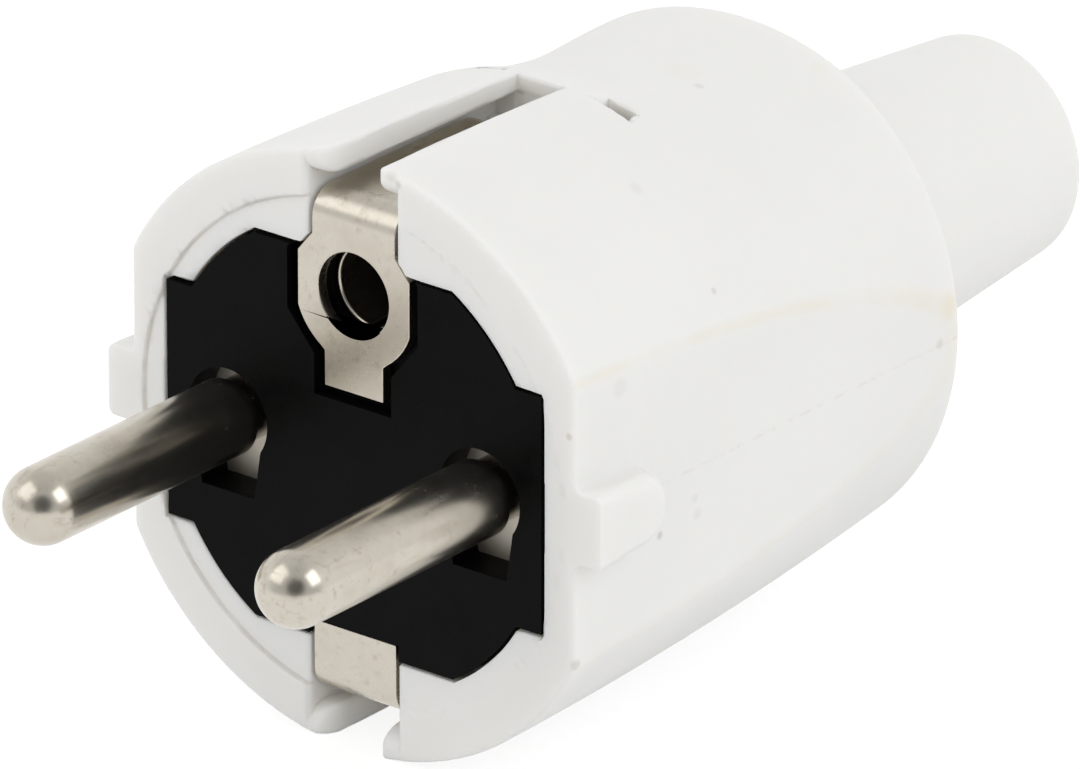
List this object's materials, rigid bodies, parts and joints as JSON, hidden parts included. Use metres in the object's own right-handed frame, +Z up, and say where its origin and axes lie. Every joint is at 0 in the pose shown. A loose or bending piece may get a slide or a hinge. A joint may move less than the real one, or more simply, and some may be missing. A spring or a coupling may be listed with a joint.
{
  "type": "grounded plug",
  "caption": "Rewirable mains plug with round pins, side earth contacts in slots, an earth pin hole in its black face, and a white barrel body with a tapered cable spout.",
  "frame": {"origin": "on the plug's axis, midway between the two pins, in the plane of the housing's front rim", "axes": "+Y runs back from the pins to the cable, +Z is up on the earth hole's side, +X is to the right seen from the pins"},
  "size_m": [0.0372, 0.0802, 0.0376],
  "materials": {
    "housing": "satin white soft plastic",
    "carrier": "fine-grained black hard plastic",
    "pins": "nickel plated, worn",
    "strap": "nickel plated sheet",
    "screws": "zinc plated"
  },
  "bodies": {
    "root": {"housing": "housing", "contact_carrier": "carrier", "carrier_back": "carrier", "cord_clamp": "carrier", "left_pin": "pins", "right_pin": "pins", "left_terminal": "pins", "right_terminal": "pins", "earth_strap": "strap", "earth_sleeve": "strap", "earth_washer": "strap", "earth_nut": "screws", "earth_screw": "screws", "left_terminal_screw": "screws", "right_terminal_screw": "screws", "left_wire_guard": "screws", "right_wire_guard": "screws", "carrier_screw": "screws", "left_clamp_screw": "screws", "right_clamp_screw": "screws"}
  },
  "joints": []
}
